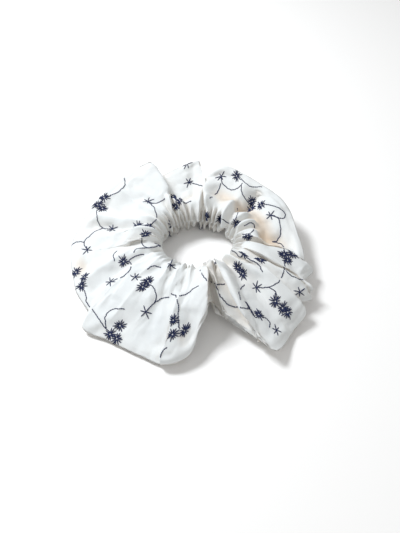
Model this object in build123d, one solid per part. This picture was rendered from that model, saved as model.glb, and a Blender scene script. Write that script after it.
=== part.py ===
"""Scrunchie: a gathered tube of embroidered cotton sewn round a loop of flat elastic.

Frame: the origin is the centre of the hair opening on the surface it lies on.
+X is the wearer's right, +Y runs to the side where the flounce is raised, +Z is up.
The ring is built as a left and a right half, because the one real motion is the
elastic stretching the ring open, which moves the halves apart along X.
"""
from build123d import *
import math
import os

# ---------------------------------------------------------------- driving dimensions, mm
OPENING_HALF_X = 24.5          # relaxed hair opening, half width
OPENING_HALF_Y = 21.5          # and half depth
SPLIT_HALF_ANGLE = 0.7         # degrees each cover half stops short of the split line

# Flounce edge round the ring: (direction in degrees, radius, height of the edge)
# 0 is +X and 90 is +Y. The edge is raised at the back and lies down at the front.
FLOUNCE_EDGE = [
    (0, 71.0, 16.0),
    (25, 67.0, 22.0),
    (45, 63.5, 26.0),
    (68, 62.0, 28.0),
    (90, 65.0, 27.0),
    (106, 66.0, 26.5),
    (121, 71.0, 28.5),
    (140, 71.5, 22.0),
    (159, 78.0, 16.0),
    (180, 86.5, 11.0),
    (204, 86.0, 8.0),
    (225, 88.5, 5.0),
    (245, 88.0, 4.5),
    (257, 88.5, 4.5),
    (269, 70.0, 8.0),
    (280, 59.0, 10.0),
    (290, 72.0, 8.0),
    (301, 89.5, 5.5),
    (315, 86.0, 5.5),
    (330, 82.5, 8.0),
    (346, 79.5, 9.5),
]
EDGE_HALF_THICKNESS = 3.0      # pull of the rounded outer fold, above and below the edge
EDGE_ROUNDING = 8.0            # how far in from the edge that fold is felt
RIDGE_OUTSET = 11.0            # top of the gathered roll, outward from the opening
RIDGE_HEIGHT = 25.0
RIDGE_LEVEL_SHARE = 0.35       # share of the flounce that leaves the roll level
QUARTER_ROUND = 0.5523         # cubic handle length that makes a quarter of an ellipse
INNER_WALL_HEIGHT = 12.5       # height at which the roll is closest to the hair
WALL_FOOT_HANDLE = 4.5         # roundness of the lower wall, along the floor
WALL_SIDE_HANDLE = 8.0         # and up the wall
UNDER_OUTSET = 17.0            # flat underside, outward from the opening
UNDER_START = 6.5              # where the flat underside begins
UNDER_LEVEL_RUN = 6.0          # how far the underside stays low beyond the flat
UNDER_CLEAR = 0.5              # least height of the fold's underside handle
UNDER_DROP = 5.0               # underside handle, below the edge
SECTION_STEP = 12.0            # degrees between lofted sections

ELASTIC_WIDTH = 8.0            # woven elastic, standing on edge
ELASTIC_THICKNESS = 1.1
ELASTIC_OUTSET = 5.0           # inside face of the elastic, outward from the opening
ELASTIC_CHANNEL_CLEARANCE = 0.8
ELASTIC_LAP_HALF_ANGLE = 13.0  # half the stretch where the two ends lie on each other
LAP_DIRECTION = 180.0

SEWING_THREAD_RADIUS = 0.25
STITCH_LENGTH = 2.4
STITCH_PITCH = 3.0
LAP_ZIGZAG_POINTS = 9
LAP_ZIGZAG_HALF_WIDTH = 3.0

LONG_SEAM_INSET = 8.0          # seam allowance, inward from the flounce edge
LONG_SEAM_RISE = 0.04          # share of the way up to the roll's top, so it stays inside
LONG_SEAM_STEP = 2.6           # degrees between stitches of the long seam
CLOSING_SEAM_DIRECTION = 112.0 # where the tube's two ends are lapped
CLOSING_SEAM_STITCHES = 22

DAISY_RADIUS = 3.4             # satin-stitched flower with an open centre
DAISY_NOTCH_RADIUS = 2.7
DAISY_CENTRE_RADIUS = 1.1
DAISY_PETALS = 12
DAISY_SPACING = 4.3            # flower centres from the middle of a sprig of three
STAR_RADIUS = 3.1
STAR_NOTCH_RADIUS = 0.75
STAR_POINTS = 6
MOTIF_HEIGHT = 0.5             # thread standing proud of the cloth
MOTIF_DEPTH = 1.1              # thread passing down through the gathers
STEM_RADIUS = 0.35
STEM_LIFT = 0.1
STEM_POINTS = 7
STEM_WAVE = 0.022              # sideways swing of a stem, as a share of the way across

# Sprigs: (direction in degrees, share of the way from the top of the roll to the flounce
# edge, turn in degrees).
LEFT_SPRIGS = [
    (126, 0.26, 70),
    (140, 0.60, 35),
    (158, 0.22, 80),
    (170, 0.64, 0),
    (188, 0.18, 50),
    (200, 0.58, 25),
    (217, 0.26, 95),
    (230, 0.64, 15),
    (247, 0.20, 40),
]
RIGHT_SPRIGS = [
    (-64, 0.56, 85),
    (-52, 0.20, 15),
    (-40, 0.62, 50),
    (-22, 0.26, 70),
    (-8, 0.60, 20),
    (10, 0.18, 95),
    (26, 0.58, 40),
    (46, 0.22, 0),
    (66, 0.54, 65),
]
STEM_ADVANCE = 12.0            # degrees from a sprig to the star at its stem's end
STEM_RISE = 0.08               # and the share of the flounce it climbs

os.makedirs("parts", exist_ok=True)


# ---------------------------------------------------------------- helpers
def along_edge(direction, column):
    """Flounce edge value at a direction, eased between the listed stations."""
    direction = direction % 360.0
    stations = FLOUNCE_EDGE + [(FLOUNCE_EDGE[0][0] + 360.0,) + FLOUNCE_EDGE[0][1:]]
    for first, second in zip(stations, stations[1:]):
        if first[0] <= direction <= second[0]:
            share = (direction - first[0]) / (second[0] - first[0])
            eased = share * share * (3.0 - 2.0 * share)
            return first[column] + (second[column] - first[column]) * eased
    return stations[0][column]


def opening_radius(direction):
    """Distance from the centre to the inner wall."""
    angle = math.radians(direction)
    return 1.0 / math.hypot(math.cos(angle) / OPENING_HALF_X, math.sin(angle) / OPENING_HALF_Y)


def ring_point(direction, radius, height):
    angle = math.radians(direction)
    return Vector(radius * math.cos(angle), radius * math.sin(angle), height)


def section_wire(direction):
    """Closed outline of the gathered tube, cut by the upright plane at a direction."""
    inner = opening_radius(direction)
    ridge = inner + RIDGE_OUTSET
    edge = along_edge(direction, 1)
    height = along_edge(direction, 2)
    under = inner + UNDER_OUTSET
    foot = inner + UNDER_START
    rise = RIDGE_HEIGHT - INNER_WALL_HEIGHT

    def curve(*handles):
        return Edge.make_bezier(*[ring_point(direction, radius, z) for radius, z in handles])

    roll = curve(
        (inner, INNER_WALL_HEIGHT),
        (inner, INNER_WALL_HEIGHT + QUARTER_ROUND * rise),
        (ridge - QUARTER_ROUND * RIDGE_OUTSET, RIDGE_HEIGHT),
        (ridge, RIDGE_HEIGHT),
    )
    flounce_top = curve(
        (ridge, RIDGE_HEIGHT),
        (ridge + RIDGE_LEVEL_SHARE * (edge - ridge), RIDGE_HEIGHT),
        (edge - EDGE_ROUNDING, height + 2.0 * EDGE_HALF_THICKNESS),
        (edge, height + EDGE_HALF_THICKNESS),
        (edge, height),
    )
    flounce_under = curve(
        (edge, height),
        (edge, height - EDGE_HALF_THICKNESS),
        (edge - EDGE_ROUNDING, max(UNDER_CLEAR, height - UNDER_DROP)),
        (under + UNDER_LEVEL_RUN, 0.0),
        (under, 0.0),
    )
    resting_line = Edge.make_line(
        ring_point(direction, under, 0.0), ring_point(direction, foot, 0.0)
    )
    lower_wall = curve(
        (foot, 0.0),
        (foot - WALL_FOOT_HANDLE, 0.0),
        (inner, INNER_WALL_HEIGHT - WALL_SIDE_HANDLE),
        (inner, INNER_WALL_HEIGHT),
    )
    return Wire([roll, flounce_top, flounce_under, resting_line, lower_wall])


def half_tube(first, last):
    """Lofted cover between two directions, before the elastic's channel is cut."""
    count = round((last - first) / SECTION_STEP)
    directions = [first + (last - first) * i / count for i in range(count + 1)]
    return Solid.make_loft([section_wire(direction) for direction in directions])


def elastic_ring(inside_outset, outside_outset, bottom, top):
    """Upright oval ring that follows the opening."""
    outer = Ellipse(OPENING_HALF_X + outside_outset, OPENING_HALF_Y + outside_outset)
    inner = Ellipse(OPENING_HALF_X + inside_outset, OPENING_HALF_Y + inside_outset)
    return Pos(0, 0, bottom) * extrude(outer - inner, top - bottom)


def thread(start, end, radius=SEWING_THREAD_RADIUS):
    """One straight length of thread."""
    direction = end - start
    return Solid.make_cylinder(radius, direction.length, Plane(origin=start, z_dir=direction))


def star_outline(points, tip, notch):
    """Closed outline with evenly spaced tips."""
    corners = []
    for i in range(2 * points):
        radius = tip if i % 2 == 0 else notch
        angle = math.pi * i / points
        corners.append((radius * math.cos(angle), radius * math.sin(angle)))
    return make_face(Polyline(*corners, close=True))


def sewn_figure(outline):
    """Embroidered figure that stands proud of the cloth and is sewn down into it."""
    return extrude(Pos(0, 0, -MOTIF_DEPTH) * outline, MOTIF_HEIGHT + MOTIF_DEPTH)


DAISY_OUTLINE = star_outline(DAISY_PETALS, DAISY_RADIUS, DAISY_NOTCH_RADIUS)
DAISY = sewn_figure(DAISY_OUTLINE - Circle(DAISY_CENTRE_RADIUS))
STAR = sewn_figure(star_outline(STAR_POINTS, STAR_RADIUS, STAR_NOTCH_RADIUS))


def save(node, shape):
    shape.label = node
    export_step(shape, f"parts/{node}.step")


class Surface:
    """Cloth surface of one cover half, read by direction and share round the section."""

    def __init__(self, solid, first, last):
        self.top = max(solid.faces(), key=lambda face: face.center().Z * face.area)
        self.first = first
        self.last = last

    def point(self, direction, across):
        along = (direction - self.first) / (self.last - self.first)
        return self.top.position_at(across, along)

    def plane(self, direction, across, turn):
        """Plane tangent to the cloth, its normal outward."""
        point = self.point(direction, across)
        ahead = self.point(direction, across + 0.005) - point
        plane = Plane(origin=point, x_dir=ahead, z_dir=self.top.normal_at(point))
        return plane.rotated((0, 0, turn))

    def lifted(self, direction, across, lift):
        point = self.point(direction, across)
        return point + self.top.normal_at(point) * lift


def embroidery(surface, sprigs, sign):
    """Flowers, stars and stems of one half."""
    flowers = []
    stars = []
    stems = []
    for direction, across, turn in sprigs:
        seat = Location(surface.plane(direction, across, turn))
        for i in range(3):
            angle = math.radians(90 + 120 * i)
            offset = Pos(DAISY_SPACING * math.cos(angle), DAISY_SPACING * math.sin(angle), 0)
            flowers += (seat * offset * DAISY).solids()
        star_direction = direction + sign * STEM_ADVANCE
        star_across = across + STEM_RISE
        star_seat = Location(surface.plane(star_direction, star_across, turn))
        stars += (star_seat * STAR).solids()
        route = []
        for i in range(STEM_POINTS):
            share = i / (STEM_POINTS - 1)
            wave = STEM_WAVE * math.sin(2.0 * math.pi * share)
            here = direction + (star_direction - direction) * (0.25 + 0.55 * share)
            level = across + (star_across - across) * (0.25 + 0.55 * share) + wave
            route.append(surface.lifted(here, level, STEM_LIFT))
        path = Edge.make_spline(route)
        start = Plane(origin=path @ 0, z_dir=path % 0)
        stems += sweep(start * Circle(STEM_RADIUS), path=path).solids()
    return Compound(flowers), Compound(stars), Compound(stems)


def long_seam(first, last):
    """Row of lockstitches inside the flounce, one seam allowance in from its edge."""
    stitches = []
    count = int((last - first) / LONG_SEAM_STEP)
    for i in range(count):
        direction = first + LONG_SEAM_STEP * (i + 0.5)
        radius = along_edge(direction, 1) - LONG_SEAM_INSET
        height = along_edge(direction, 2)
        height = height + (RIDGE_HEIGHT - height) * LONG_SEAM_RISE
        middle = ring_point(direction, radius, height)
        heading = ring_point(direction + 90.0, STITCH_LENGTH / 2.0, 0.0)
        stitches.append(thread(middle - heading, middle + heading))
    return Compound(stitches)


# ---------------------------------------------------------------- elastic loop
elastic_bottom = INNER_WALL_HEIGHT - ELASTIC_WIDTH / 2.0
elastic_top = INNER_WALL_HEIGHT + ELASTIC_WIDTH / 2.0
elastic_outside = ELASTIC_OUTSET + ELASTIC_THICKNESS
lap_outside = elastic_outside + ELASTIC_THICKNESS

elastic_loop = elastic_ring(ELASTIC_OUTSET, elastic_outside, elastic_bottom, elastic_top)
lap_ring = elastic_ring(elastic_outside, lap_outside, elastic_bottom, elastic_top)
lap_half_chord = math.radians(ELASTIC_LAP_HALF_ANGLE) * (OPENING_HALF_X + lap_outside)
lap_window = Pos(-(OPENING_HALF_X + lap_outside), 0, INNER_WALL_HEIGHT) * Box(
    2.0 * lap_outside, 2.0 * lap_half_chord, ELASTIC_WIDTH
)
elastic_band = elastic_loop + (lap_ring & lap_window)
save("elastic_band", elastic_band)

# Zigzag through the lap: points alternate up and down on both faces of the elastic.
zigzag = []
for outset, sense in ((ELASTIC_OUTSET, -1.0), (lap_outside, 1.0)):
    row = []
    for i in range(LAP_ZIGZAG_POINTS):
        share = i / (LAP_ZIGZAG_POINTS - 1) - 0.5
        direction = LAP_DIRECTION + 1.6 * ELASTIC_LAP_HALF_ANGLE * share
        side = 1.0 if i % 2 == 0 else -1.0
        angle = math.radians(direction)
        reach = outset + sense * SEWING_THREAD_RADIUS
        x = (OPENING_HALF_X + reach) * math.cos(angle)
        y = (OPENING_HALF_Y + reach) * math.sin(angle)
        row.append(Vector(x, y, INNER_WALL_HEIGHT + side * LAP_ZIGZAG_HALF_WIDTH))
    zigzag.append(row)
lap_threads = []
for row in zigzag:
    lap_threads += [thread(a, b) for a, b in zip(row, row[1:])]
lap_threads += [thread(a, b) for a, b in zip(zigzag[0], zigzag[1])]
save("elastic_join_stitching", Compound(lap_threads))

# ---------------------------------------------------------------- cover halves
channel = elastic_ring(
    ELASTIC_OUTSET - ELASTIC_CHANNEL_CLEARANCE,
    lap_outside + ELASTIC_CHANNEL_CLEARANCE,
    elastic_bottom - ELASTIC_CHANNEL_CLEARANCE,
    elastic_top + ELASTIC_CHANNEL_CLEARANCE,
)
for name, start, sign, sprigs in (
    ("right", -90.0, -1.0, RIGHT_SPRIGS),
    ("left", 90.0, 1.0, LEFT_SPRIGS),
):
    first = start + SPLIT_HALF_ANGLE
    last = start + 180.0 - SPLIT_HALF_ANGLE
    tube = half_tube(first, last)
    save(f"cover_{name}", tube - channel)
    flowers, stars, stems = embroidery(Surface(tube, first, last), sprigs, sign)
    save(f"embroidered_flowers_{name}", flowers)
    save(f"embroidered_stars_{name}", stars)
    save(f"embroidered_stems_{name}", stems)
    save(f"long_seam_{name}", long_seam(first + 1.0, last - 1.0))

# ---------------------------------------------------------------- closing seam
# Hand stitches that close the lapped tube ends, in a line across the flounce.
closing = []
near = opening_radius(CLOSING_SEAM_DIRECTION) + RIDGE_OUTSET
far = along_edge(CLOSING_SEAM_DIRECTION, 1) - EDGE_HALF_THICKNESS
near_height = RIDGE_HEIGHT - 3.0
far_height = along_edge(CLOSING_SEAM_DIRECTION, 2)
for i in range(CLOSING_SEAM_STITCHES):
    start_share = i / CLOSING_SEAM_STITCHES
    end_share = start_share + STITCH_LENGTH / STITCH_PITCH / CLOSING_SEAM_STITCHES
    ends = []
    for share in (start_share, end_share):
        radius = near + (far - near) * share
        height = near_height + (far_height - near_height) * share
        ends.append(ring_point(CLOSING_SEAM_DIRECTION, radius, height))
    closing.append(thread(ends[0], ends[1]))
save("closing_seam", Compound(closing))
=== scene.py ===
"""Looks of the gathered, embroidered scrunchie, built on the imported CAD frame."""
import math

import bpy
import numpy as np
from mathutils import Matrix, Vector
from mathutils.bvhtree import BVHTree


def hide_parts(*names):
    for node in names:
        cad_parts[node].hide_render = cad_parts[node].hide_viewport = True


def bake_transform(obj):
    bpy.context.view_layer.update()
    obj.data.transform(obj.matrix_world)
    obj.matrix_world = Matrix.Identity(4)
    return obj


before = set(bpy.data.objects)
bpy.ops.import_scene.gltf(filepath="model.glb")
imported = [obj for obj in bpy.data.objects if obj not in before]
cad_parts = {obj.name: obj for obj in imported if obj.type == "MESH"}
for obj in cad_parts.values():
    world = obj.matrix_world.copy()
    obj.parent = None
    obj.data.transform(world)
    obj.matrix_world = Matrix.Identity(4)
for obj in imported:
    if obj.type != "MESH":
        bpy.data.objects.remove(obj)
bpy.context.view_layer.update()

MM = 0.001

# ------------------------------------------------------------------ the cut cloth, mm
COLUMNS = 400                 # simulated grid: columns round the ring
LAYER_ROWS = 28               # and rows across one layer, inner wall to flounce edge
CLOTH_LENGTH = 560.0          # strip length before it is gathered
LAYER_WIDTH = 67.0            # half the strip's width: one layer of the flounce
ALLOWANCE = 8.0               # seam allowance turned inside along the flounce edge
INNER_X, INNER_Y, INNER_Z = 26.0, 23.0, 12.5      # the inner wall's half axes and height
OPENING_HALF_X, OPENING_HALF_Y = 24.5, 21.5       # the opening that the gathers leave free
TURNS = 2.0 * math.pi
UP = np.array([0.0, 0.0, 1.0])

# The flounce edge, clockwise from the gap at the front. Where the run doubles back the
# cloth is folded over itself.
EDGE = [
    (7.5, -51, 16), (-0.6, -68, 11), (-6, -81.8, 6), (-19.6, -87.3, 4), (-34.8, -81, 3.5),
    (-56, -70, 3.5), (-71, -62.5, 4), (-69.5, -51, 6), (-79, -35, 7), (-84.7, -15, 9),
    (-86, 1, 11), (-82.5, 15, 13), (-74, 31, 19), (-57, 48.5, 26), (-36, 62.5, 31),
    (-46, 56, 20), (-37, 56.5, 17), (-17, 62.5, 26), (1, 67, 29), (-3, 60, 19),
    (7, 57.5, 21), (19.6, 60.5, 29), (34, 53, 28), (45.5, 44.5, 26), (57.5, 33.5, 24),
    (64.3, 21.5, 21), (68, 6.5, 17), (70.2, -7, 14), (70.7, -15.8, 12), (76.2, -19.3, 8),
    (68, -31, 10), (73.5, -40.6, 7), (63.6, -47, 9), (66.5, -53, 5), (61, -61, 4.5),
    (48, -78, 5), (38.5, -74.7, 8), (25.7, -65.5, 9), (15, -57.4, 10),
]


def curve_piece(a, b, c, d, steps):
    """Points of the smooth curve through a, b, c and d, from b up to c."""
    t = (np.arange(steps) / steps)[:, None]
    cubic = (2 * a - 5 * b + 4 * c - d) * t**2 + (3 * b - a - 3 * c + d) * t**3
    return 0.5 * (2 * b + (c - a) * t + cubic)


def lengths_along(run):
    """Distance from the start of a run to each of its points."""
    return np.r_[0, np.cumsum(np.linalg.norm(np.diff(run, axis=0), axis=1))]


def points_along(run, length, at):
    """Points of a run at the distances asked for."""
    return np.stack([np.interp(at, length, line) for line in run.T], 1)


def closed_curve(points, samples):
    """Smooth closed curve through the points, evenly spaced, and where each point falls."""
    p = np.array(points, float)
    count = len(p)
    steps = 24
    run = [
        curve_piece(p[i - 1], p[i], p[(i + 1) % count], p[(i + 2) % count], steps)
        for i in range(count)
    ]
    run = np.vstack(run + [p[:1]])
    length = lengths_along(run)
    at = np.linspace(0, length[-1], samples, endpoint=False)
    return points_along(run, length, at), length[::steps] / length[-1]


def smooth_ring(values, sigma):
    """Gaussian smoothing round the ring. sigma is a share of the whole turn."""
    wave = np.fft.rfft(values, axis=0)
    k = np.arange(wave.shape[0])
    keep = np.exp(-2 * (math.pi * sigma * k) ** 2)
    keep = keep.reshape(-1, *([1] * (values.ndim - 1)))
    return np.fft.irfft(wave * keep, values.shape[0], axis=0)


def smooth_cloth(values, across, along):
    """Smoothing of a grid that covers the whole cloth. The sigmas are cloth millimetres."""
    for axis, sigma in ((0, across / LAYER_WIDTH / 2), (1, along / CLOTH_LENGTH)):
        values = np.moveaxis(smooth_ring(np.moveaxis(values, axis, 0), sigma), 0, axis)
    return values


def ramp(x, a, b):
    """0 below a, 1 above b, smooth in between."""
    t = np.clip((x - a) / (b - a), 0, 1)
    return t * t * (3 - 2 * t)


edge, station = closed_curve(EDGE, COLUMNS)
share = np.arange(COLUMNS) / COLUMNS
rng = np.random.default_rng(11)


def ring_noise(sigma, amplitude):
    x = smooth_ring(rng.standard_normal(COLUMNS), sigma)
    return amplitude * x / np.abs(x).max()


def at_station(number):
    """Share of the way round at a point of EDGE."""
    low = int(math.floor(number))
    return float(station[low] + (station[low + 1] - station[low]) * (number - low))


def apart(a, b):
    """Signed difference of two shares round the ring, in cloth millimetres."""
    return ((a - b + 0.5) % 1.0 - 0.5) * CLOTH_LENGTH


# ------------------------------------------------------------------ how the cloth is gathered
heading = np.unwrap(np.arctan2(edge[:, 1], edge[:, 0]))
inner_heading = smooth_ring(heading + TURNS * share, 0.035) - TURNS * share
outward = np.stack([np.cos(inner_heading), np.sin(inner_heading), 0 * share], 1)
inner_line = np.stack(
    [INNER_X * outward[:, 0], INNER_Y * outward[:, 1], np.full(COLUMNS, INNER_Z)], 1
)

# Where the flounce sags between the gathered roll and its edge: (edge station, spread in
# stations, depth in mm). The deepest is the shaded valley at the raised back right.
SAGS = [
    (17.5, 1.6, 7.0), (23.5, 3.2, 9.0), (26.5, 2.0, 6.0), (13.0, 2.2, 4.5), (9.0, 3.0, 2.0),
]
sag = np.zeros(COLUMNS)
station_number = np.interp(share, station, np.arange(len(station)))
for where, spread, depth in SAGS:
    sag = np.maximum(sag, depth * np.exp(-(((station_number - where) / spread) ** 2)))
sag = smooth_ring(sag, 0.008)


def layer(on_top):
    """One layer of cloth, from the inner wall to the edge, evenly spaced by arc length."""
    q = np.linspace(0, 1, 40)
    rise, reach = (12.0, 9.5) if on_top else (-11.3, 9.0)
    quarter = q * math.pi / 2
    roll = (
        inner_line[None]
        + outward[None] * (reach * (1 - np.cos(quarter)))[:, None, None]
        + UP * (rise * np.sin(quarter))[:, None, None]
    )
    away = edge - roll[-1]
    far = np.linalg.norm(away, axis=1, keepdims=True)
    if on_top:
        leave, arrive = outward * far * 0.8, away - UP * 6
    else:
        leave, arrive = outward * far * 1.1, away * 0.8 + UP * 8
    t = q[1:, None, None]
    flounce = (
        (2 * t**3 - 3 * t**2 + 1) * roll[-1][None]
        + (t**3 - 2 * t**2 + t) * leave[None]
        + (3 * t**2 - 2 * t**3) * edge[None]
        + (t**3 - t**2) * arrive[None]
    )
    if on_top:
        flounce = flounce - UP * sag[None, :, None] * np.sin(math.pi * t**0.85) ** 2
    path = np.concatenate([roll, flounce], 0)
    steps = np.linalg.norm(np.diff(path, axis=0), axis=2)
    run = np.vstack([np.zeros(COLUMNS), np.cumsum(steps, axis=0)])
    even = np.zeros((LAYER_ROWS + 1, COLUMNS, 3))
    for column in range(COLUMNS):
        at = np.linspace(0, run[-1, column], LAYER_ROWS + 1)
        for k in range(3):
            even[:, column, k] = np.interp(at, run[:, column], path[:, column, k])
    return even


# Pleat families: (pleats round the ring, from, full, fading, gone, deepest). The distances
# are cloth millimetres from the inner wall: fine gathers at the elastic merge into folds.
PLEATS = [
    (46, -1, 0, 8, 17, 2.1),
    (24, 5, 12, 22, 34, 2.2),
    (13, 20, 34, 60, 75, 2.4),
]
OVERHANG = 0.8                # how far a fold leans over its neighbour, as a share of its height
# Folds lying over their neighbour: (edge station, lean in mm, height, width, first and last
# distance from the inner wall). A positive width drops off clockwise, a negative one back.
FOLDS = [
    (3.0, 10.0, 5.0, 30.0, 22, 70),
    (0.7, -6.0, 5.5, -22.0, 14, 70),
    (9.3, 14.0, 3.5, 26.0, 10, 56),
    (6.6, -6.0, 3.0, 22.0, 20, 70),
    (14.4, -3.0, 4.0, 20.0, 12, 70),
    (20.2, 2.0, 3.5, -18.0, 12, 70),
    (28.2, 6.0, 3.5, 16.0, 12, 64),
    (30.5, 2.0, 5.0, 18.0, 10, 70),
    (33.0, -3.0, 4.5, -18.0, 12, 70),
    (35.9, -10.0, 7.5, 26.0, 8, 72),
    (37.6, -2.0, 4.0, 16.0, 12, 66),
]


def zigzag(x):
    """Triangle wave with slightly rounded corners, one wave for each 1 of x."""
    return np.arcsin(0.97 * np.sin(TURNS * x)) / math.asin(0.97)


# The cloth lies smoothest at the front left: edge station, spread in cloth mm, and the share
# of the pleats' depth that is kept there.
SMOOTH_AT, SMOOTH_SPREAD, SMOOTH_KEEPS = 4.5, 56.0, 0.45
near_smooth = np.exp(-(apart(share, at_station(SMOOTH_AT)) / SMOOTH_SPREAD) ** 2)
kept = 1 - (1 - SMOOTH_KEEPS) * near_smooth
phases = {p[0]: p[0] * share + ring_noise(0.012, 0.55) for p in PLEATS}
swings = {p[0]: (1 + ring_noise(0.010, 0.6)) * kept for p in PLEATS}


# Local pushes of the top layer, in mm: (edge station, spread along and across, distance
# from the inner wall, push).
PUSHES = [
    (13.9, 13.0, 15.0, 38.0, (4.5, -2.0, 3.0)),
    (15.9, 9.0, 14.0, 40.0, (-1.0, 0.0, -1.5)),
    (18.6, 9.0, 16.0, 46.0, (5.0, 0.0, 3.0)),
    (20.3, 8.0, 12.0, 44.0, (-2.0, 0.0, 4.0)),
    (0.6, 10.0, 18.0, 34.0, (3.0, 1.0, 4.0)),
    (2.2, 16.0, 16.0, 30.0, (0.0, 0.0, -3.0)),
    (37.0, 10.0, 18.0, 36.0, (-3.0, 1.0, 4.0)),
    (34.6, 10.0, 16.0, 30.0, (1.0, 2.0, -3.5)),
    (28.5, 10.0, 12.0, 46.0, (2.0, 1.0, 3.5)),
    (31.0, 8.0, 12.0, 50.0, (2.0, 1.0, 3.0)),
]


def gather(rows, on_top):
    """Pleats and overlapping folds, raised along the layer's own normal."""
    along = (np.roll(rows, -1, 1) - np.roll(rows, 1, 1)) * COLUMNS / 2
    normal = np.cross(along, np.gradient(rows, axis=0))
    for _ in range(2):        # smoothed twice, so that neighbouring pleats don't cross
        normal /= np.linalg.norm(normal, axis=2, keepdims=True) + 1e-9
        normal = smooth_ring(normal.transpose(1, 0, 2), 0.008).transpose(1, 0, 2)
    normal /= np.linalg.norm(normal, axis=2, keepdims=True) + 1e-9
    from_wall = np.linspace(0, LAYER_WIDTH, rows.shape[0])[:, None]
    stretch = smooth_ring(np.linalg.norm(along, axis=2).T, 0.01).T
    slack = np.sqrt(np.maximum((CLOTH_LENGTH / np.maximum(stretch, 60)) ** 2 - 1, 0))
    ahead = along / np.maximum(np.linalg.norm(along, axis=2, keepdims=True), 1e-6)
    lift = np.zeros(rows.shape[:2])
    for count, first, full, fading, gone, deepest in PLEATS:
        where = ramp(from_wall, first, full) * (1 - ramp(from_wall, fading, gone))
        depth = np.minimum(slack * stretch / count / 4 * 0.9, deepest)
        lift += where * depth * swings[count] * zigzag(phases[count])
    if on_top:
        for where, lean, height, width, first, last in FOLDS:
            middle = at_station(where) + lean * (from_wall / LAYER_WIDTH - 1) / CLOTH_LENGTH
            x = apart(share[None], middle) / abs(width) * np.sign(width)
            profile = ramp(x, -1.0, -0.05) * (1 - ramp(x, 0.0, 0.12))
            near = ramp(from_wall, first, first + 14) * (1 - ramp(from_wall, last - 6, last))
            lift += height * profile * near
            lean_over = OVERHANG * height * np.sign(width) * profile * near
            rows = rows + ahead * lean_over[..., None]
        for where, along_spread, across_spread, middle, push in PUSHES:
            near = np.exp(-((apart(share[None], at_station(where)) / along_spread) ** 2))
            near = near * np.exp(-(((from_wall - middle) / across_spread) ** 2))
            near = near * (1 - ramp(from_wall, LAYER_WIDTH - 8, LAYER_WIDTH))
            rows = rows + near[..., None] * np.array(push)
    return rows + normal * lift[..., None]


top = gather(layer(True), True)
bottom = gather(layer(False), False)
bottom[0], bottom[-1] = top[0], top[-1]
START_CLEARANCE = 0.8         # least height above the floor before the cloth settles
start_shape = np.concatenate([bottom[::-1], top[1:-1]], 0)
ROWS = start_shape.shape[0]
start_shape[..., 2] = np.maximum(start_shape[..., 2], START_CLEARANCE)


# ------------------------------------------------------------------ mesh helpers
def new_object(name, vertices, faces, uvs=None):
    mesh = bpy.data.meshes.new(name)
    mesh.from_pydata(np.asarray(vertices).tolist(), [], np.asarray(faces).tolist())
    if uvs is not None:
        mesh.uv_layers.new(name="cloth").data.foreach_set("uv", np.asarray(uvs, float).ravel())
    mesh.polygons.foreach_set("use_smooth", [True] * len(mesh.polygons))
    obj = bpy.data.objects.new(name, mesh)
    bpy.context.scene.collection.objects.link(obj)
    return obj


def level_square(name, half):
    """A level square at floor height, its half side in metres."""
    corners = [(-half, -half, 0), (half, -half, 0), (half, half, 0), (-half, half, 0)]
    return new_object(name, corners, [(0, 1, 2, 3)])


def ring_faces(rows, columns, closed):
    """Quads of a grid that closes round the ring, and across it too where closed."""
    index = np.arange(rows * columns).reshape(rows, columns)
    ahead = np.roll(index, -1, 1)
    if closed:
        parts = index, ahead, np.roll(ahead, -1, 0), np.roll(index, -1, 0)
    else:
        parts = index[:-1], ahead[:-1], ahead[1:], index[1:]
    return np.stack(parts, -1).reshape(-1, 4)


SETTLING_FRAMES = 16
MOST_MOVED = 6.0              # mm that the simulation may move any point
HOLD_AT_WALL, HOLD_AT_EDGE, HOLD_ELSEWHERE = 1.0, 0.25, 0.02


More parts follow.
